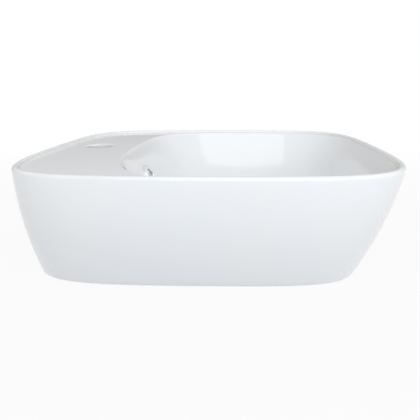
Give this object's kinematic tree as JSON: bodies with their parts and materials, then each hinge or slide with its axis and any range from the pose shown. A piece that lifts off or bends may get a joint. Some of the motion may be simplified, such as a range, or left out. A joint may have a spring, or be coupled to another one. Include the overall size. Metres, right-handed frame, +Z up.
{
  "type": "countertop basin",
  "caption": "Glazed countertop basin with a rounded rectangular rim, a side tap deck, an offset sloped bowl, an overflow and a click-clack waste.",
  "frame": {"origin": "centre of the rim's rectangle, on the plane the foot stands on", "axes": "+Z up; X along the long side with the tap deck at -X and the bowl at +X; the front faces -Y"},
  "size_m": [0.399, 0.3599, 0.12],
  "materials": {
    "glaze": "high-gloss white sanitary glaze",
    "plating": "polished bright plating",
    "seal_rubber": "matte black seal",
    "slip_plastic": "natural slip plastic",
    "soft_plastic": "soft translucent plastic",
    "brass": "machined brass",
    "cartridge_plastic": "smooth moulded plastic",
    "spring_steel": "drawn spring wire"
  },
  "bodies": {
    "basin": {"outer_wall": "glaze", "tap_deck": "glaze", "bowl_shell": "glaze", "waste_boss": "glaze", "overflow_ring": "plating", "overflow_fin_sleeve": "soft_plastic", "waste_body": "plating", "waste_top_seal": "seal_rubber", "waste_bottom_seal": "seal_rubber", "waste_slip_washer": "slip_plastic", "waste_locknut": "brass", "cartridge_housing": "cartridge_plastic", "cartridge_retainer": "cartridge_plastic", "plunger_spring": "spring_steel"},
    "plug": {"plug_cap": "plating", "plug_seal": "seal_rubber", "plug_stem": "brass"},
    "rotor": {"latch_rotor": "cartridge_plastic"}
  },
  "joints": [
    {"name": "plug_press", "type": "slide", "parent": "basin", "child": "plug", "axis": [0, 0, 1], "range_m": [-0.008, 0], "stiffness_N_per_m": 600, "springref_m": 0.005, "deforming": ["plunger_spring"]},
    {"name": "rotor_turn", "type": "hinge", "parent": "plug", "child": "rotor", "pos_m": [0.045, 0, 0.0306], "axis": [0, 0, 1], "range_deg": [-45, 0]}
  ],
  "couplings": [
    {"joint": "rotor_turn", "follows": "plug_press", "rad_per_m": 98.17}
  ]
}
